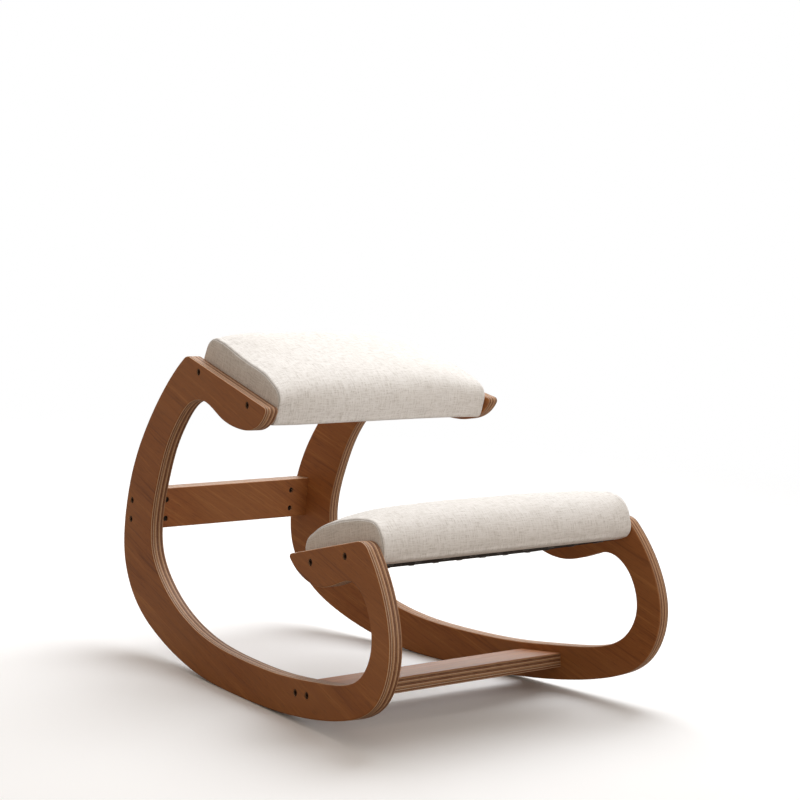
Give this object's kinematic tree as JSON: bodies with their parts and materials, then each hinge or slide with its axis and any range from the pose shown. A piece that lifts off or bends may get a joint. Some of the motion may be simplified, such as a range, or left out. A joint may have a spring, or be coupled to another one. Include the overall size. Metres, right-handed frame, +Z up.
{
  "type": "rocking kneeling chair",
  "caption": "Rocking kneeling chair: two curved plywood side frames joined by stretchers carry a sloping seat pad and a sloping knee pad.",
  "frame": {"origin": "on the floor below the middle of the bounding box, where the chair's mirror plane meets the ground", "axes": "+Z up, +X to the sitter's left as they kneel facing -Y, so X is across the chair; -Y is the front, the knee-pad end; the chair is symmetric about X = 0"},
  "size_m": [0.5036, 0.6622, 0.4613],
  "materials": {
    "walnut_ply": "walnut-stained plywood, satin lacquer, light plies showing on the edges",
    "board_ply": "plain plywood, hidden under the upholstery",
    "foam": "open-cell seat foam, hidden under the cover",
    "linen": "off-white linen-look plain weave",
    "dust_cloth": "black non-woven cloth",
    "black_steel": "black-zinc steel"
  },
  "bodies": {
    "root": {"side_frame_left": "walnut_ply", "side_frame_right": "walnut_ply", "rear_stretcher": "walnut_ply", "front_stretcher": "walnut_ply", "seat_base_board": "board_ply", "seat_foam": "foam", "seat_cover": "linen", "seat_dust_cover": "dust_cloth", "knee_base_board": "board_ply", "knee_foam": "foam", "knee_cover": "linen", "knee_dust_cover": "dust_cloth", "seat_bolts": "black_steel", "knee_bolts": "black_steel", "rear_stretcher_bolts": "black_steel", "front_stretcher_bolts": "black_steel", "seat_barrel_nuts": "black_steel", "knee_barrel_nuts": "black_steel", "rear_stretcher_barrel_nuts": "black_steel", "front_stretcher_barrel_nuts": "black_steel"}
  },
  "joints": []
}
